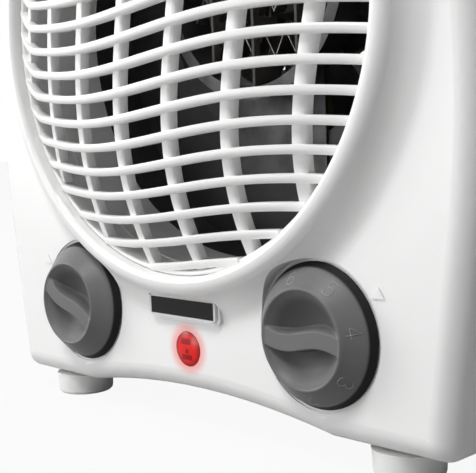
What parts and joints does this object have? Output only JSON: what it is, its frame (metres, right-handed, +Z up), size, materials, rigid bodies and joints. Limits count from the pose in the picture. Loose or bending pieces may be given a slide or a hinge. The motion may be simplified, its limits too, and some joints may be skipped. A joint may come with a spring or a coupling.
{
  "type": "fan heater",
  "caption": "Upright fan heater with a domed round outlet grille, two rotary knobs, a pilot lamp, a fan, a heating element and round feet.",
  "frame": {"origin": "on the floor under the middle of the body, between the feet", "axes": "+X to the right seen from the front, +Y from the outlet to the back, +Z up"},
  "size_m": [0.202, 0.1218, 0.238],
  "materials": {
    "white_shell": "satin moulded white",
    "white_grille": "satin moulded white",
    "foot_plastic": "matte pale grey",
    "knob_plastic": "satin dark grey, fine texture",
    "dark_plastic": "black",
    "duct_plastic": "dark grey heat-resistant",
    "pilot_red": "clear red, lit",
    "lamp_glass": "clear",
    "badge_black": "gloss black with bright rim",
    "steel": "zinc plated",
    "screw_steel": "zinc plated",
    "laminations": "dark electrical steel",
    "spindle_brass": "plain",
    "mica": "pressed mica",
    "heating_wire": "oxidised resistance wire",
    "ceramic": "off-white",
    "coil_tape": "yellow tape over winding"
  },
  "bodies": {
    "housing": {"air_duct": "duct_plastic", "badge_plate": "badge_black", "bearing_bracket_front": "steel", "bearing_bracket_rear": "steel", "bimetal_blade": "steel", "clamp_screws": "screw_steel", "coil_bobbin": "ceramic", "control_screws": "screw_steel", "cord_clamp": "dark_plastic", "cord_gland": "dark_plastic", "duct_screws": "screw_steel", "element_frame": "steel", "foot_front_left": "foot_plastic", "foot_front_right": "foot_plastic", "foot_rear_left": "foot_plastic", "foot_rear_right": "foot_plastic", "front_grille": "white_grille", "front_shell": "white_shell", "heating_ribbon_lower": "heating_wire", "heating_ribbon_upper": "heating_wire", "mica_board_centre": "mica", "mica_board_left": "mica", "mica_board_right": "mica", "mode_switch": "dark_plastic", "motor_bearing_front": "spindle_brass", "motor_bearing_rear": "spindle_brass", "motor_coil": "coil_tape", "motor_screws": "screw_steel", "motor_stator": "laminations", "pilot_lamp": "lamp_glass", "pilot_lens": "pilot_red", "rear_shell": "white_shell", "shell_screws": "screw_steel", "switch_terminals": "spindle_brass", "terminal_block": "ceramic", "terminal_screws": "screw_steel", "thermal_cutout": "ceramic", "thermal_fuse": "lamp_glass", "thermostat_block": "ceramic", "thermostat_plate": "steel", "thermostat_terminals": "spindle_brass"},
    "mode_control": {"mode_knob": "knob_plastic", "mode_spindle": "spindle_brass"},
    "thermostat_control": {"thermostat_knob": "knob_plastic", "thermostat_spindle": "spindle_brass"},
    "fan_shaft": {"fan": "dark_plastic", "fan_clip": "steel", "motor_shaft": "steel", "motor_rotor": "laminations"}
  },
  "joints": [
    {"name": "mode_turn", "type": "hinge", "parent": "housing", "child": "mode_control", "pos_m": [-0.0509, -0.03605, 0.0356], "axis": [0, -1, 0], "range_deg": [-90, 45]},
    {"name": "thermostat_turn", "type": "hinge", "parent": "housing", "child": "thermostat_control", "pos_m": [0.0509, -0.03605, 0.0356], "axis": [0, -1, 0], "range_deg": [-78, 162]},
    {"name": "fan_spin", "type": "hinge", "parent": "housing", "child": "fan_shaft", "pos_m": [0, 0.01395, 0.137], "axis": [0, -1, 0], "continuous": true}
  ]
}
